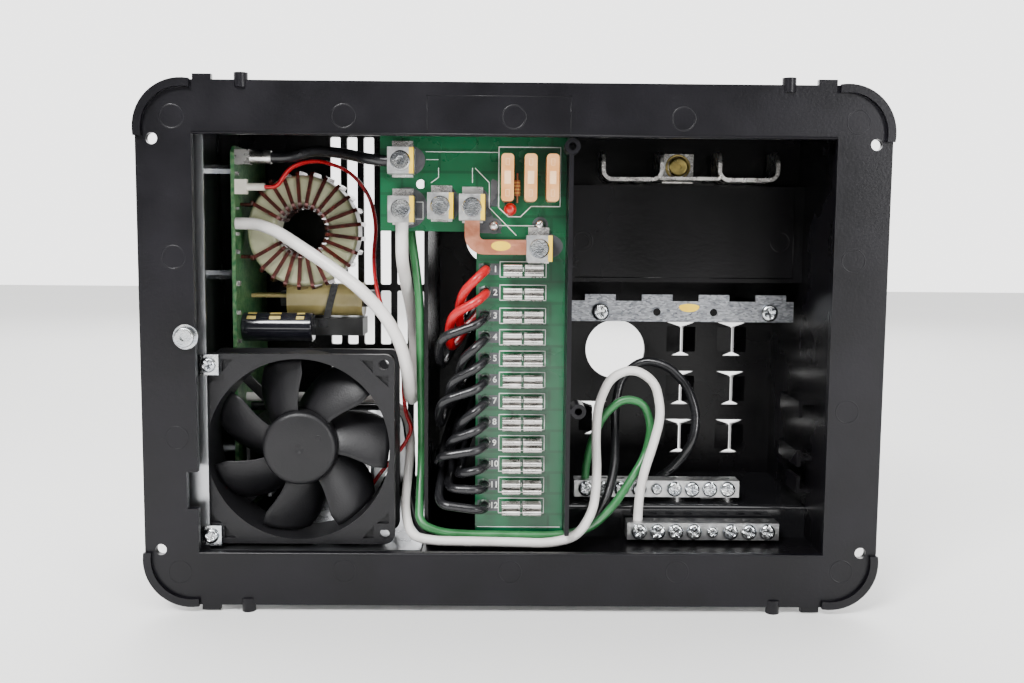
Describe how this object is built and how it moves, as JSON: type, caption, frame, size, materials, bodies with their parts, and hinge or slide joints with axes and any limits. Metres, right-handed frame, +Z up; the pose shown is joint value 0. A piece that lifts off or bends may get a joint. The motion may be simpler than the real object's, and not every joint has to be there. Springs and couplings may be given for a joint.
{
  "type": "power distribution centre",
  "caption": "Wall-mounted 12 V power centre with its cover off: flanged frame and box with an AC breaker bay, a DC fuse board and a fan-cooled converter.",
  "frame": {"origin": "centre of the four mounting holes, on the rear face of the front frame", "axes": "+X to the viewer's right, +Y into the box away from the viewer, +Z up"},
  "size_m": [0.301, 0.1094, 0.2176],
  "materials": {
    "black_moulding": "satin black moulding",
    "terminal_moulding": "glossy black moulding",
    "galvanised": "spangled zinc coating",
    "bright_zinc": "bright zinc plate",
    "tinned": "bright tin plate",
    "lug_alloy": "tin-plated alloy",
    "brass": "worn brass",
    "copper": "bare copper",
    "winding": "dark red enamelled copper",
    "board_green": "green solder mask with white marks",
    "board_tan": "tan laminate",
    "fuse_body": "translucent tan",
    "led_red": "clear red",
    "resistor": "lacquer with coloured bands",
    "fan_plastic": "fine matte black",
    "magnet": "dark ferrite",
    "ferrite": "pale green coated powder core",
    "tape": "yellow polyester tape",
    "capacitor_sleeve": "shrink sleeve",
    "header": "off-white nylon",
    "sink": "extruded",
    "epoxy": "moulded epoxy",
    "wire_red": "red insulation",
    "wire_black": "black insulation",
    "wire_white": "white insulation",
    "wire_green": "green insulation"
  },
  "bodies": {
    "housing": {"front_frame": "black_moulding", "rear_box": "black_moulding", "breaker_platform": "black_moulding", "terminal_shelf": "terminal_moulding", "ac_dc_divider": "black_moulding", "channel_wall": "black_moulding", "hot_bus": "tinned", "bus_screw": "brass", "breaker_rail": "galvanised", "rail_screws": "bright_zinc", "neutral_bar": "lug_alloy", "ground_bar": "lug_alloy", "bar_screws": "bright_zinc", "fuse_board": "board_green", "wire_lugs": "lug_alloy", "lug_straps": "tinned", "copper_link": "copper", "battery_fuse_clips": "tinned", "branch_fuse_clips": "tinned", "status_led": "led_red", "led_resistor": "resistor", "converter_chassis": "bright_zinc", "ground_washer": "bright_zinc", "ground_screw": "bright_zinc", "converter_pcb": "board_tan", "pcb_standoffs": "bright_zinc", "toroid_core": "ferrite", "toroid_winding": "winding", "transformer_coil": "tape", "transformer_core": "magnet", "transformer_base": "epoxy", "bulk_capacitor": "capacitor_sleeve", "output_lug": "tinned", "fan_header": "header", "heat_sink": "sink", "power_transistors": "epoxy", "fan_frame": "fan_plastic", "fan_bearing": "brass", "fan_stator": "winding", "fan_clips": "bright_zinc", "fan_clip_screws": "bright_zinc", "branch_leads_red": "wire_red", "branch_leads_black": "wire_black", "output_cable_black": "wire_black", "output_cable_white": "wire_white", "ac_lead_white": "wire_white", "ac_lead_green": "wire_green", "ac_lead_black": "wire_black", "fan_leads": "wire_red"},
    "fan": {"fan_rotor": "fan_plastic", "fan_shaft": "bright_zinc", "rotor_magnet": "magnet"},
    "battery_fuse_1_body": {"battery_fuse_1": "fuse_body"},
    "battery_fuse_2_body": {"battery_fuse_2": "fuse_body"},
    "battery_fuse_3_body": {"battery_fuse_3": "fuse_body"},
    "lug_screw_1_body": {"lug_screw_1": "bright_zinc"},
    "lug_screw_2_body": {"lug_screw_2": "bright_zinc"},
    "lug_screw_3_body": {"lug_screw_3": "bright_zinc"},
    "lug_screw_4_body": {"lug_screw_4": "bright_zinc"},
    "lug_screw_5_body": {"lug_screw_5": "bright_zinc"}
  },
  "joints": [
    {"name": "fan_spin", "type": "hinge", "parent": "housing", "child": "fan", "pos_m": [-0.0892, 0.0205, -0.0434], "axis": [0, 1, 0], "continuous": true},
    {"name": "battery_fuse_1_pull", "type": "slide", "parent": "housing", "child": "battery_fuse_1_body", "axis": [0, -1, 0], "range_m": [0, 0.008]},
    {"name": "battery_fuse_2_pull", "type": "slide", "parent": "housing", "child": "battery_fuse_2_body", "axis": [0, -1, 0], "range_m": [0, 0.008]},
    {"name": "battery_fuse_3_pull", "type": "slide", "parent": "housing", "child": "battery_fuse_3_body", "axis": [0, -1, 0], "range_m": [0, 0.008]},
    {"name": "lug_screw_1_travel", "type": "slide", "parent": "housing", "child": "lug_screw_1_body", "axis": [0, -1, 0], "range_m": [0, 0.0025]},
    {"name": "lug_screw_2_travel", "type": "slide", "parent": "housing", "child": "lug_screw_2_body", "axis": [0, -1, 0], "range_m": [0, 0.0025]},
    {"name": "lug_screw_3_travel", "type": "slide", "parent": "housing", "child": "lug_screw_3_body", "axis": [0, -1, 0], "range_m": [0, 0.0025]},
    {"name": "lug_screw_4_travel", "type": "slide", "parent": "housing", "child": "lug_screw_4_body", "axis": [0, -1, 0], "range_m": [0, 0.0025]},
    {"name": "lug_screw_5_travel", "type": "slide", "parent": "housing", "child": "lug_screw_5_body", "axis": [0, -1, 0], "range_m": [0, 0.0025]}
  ]
}
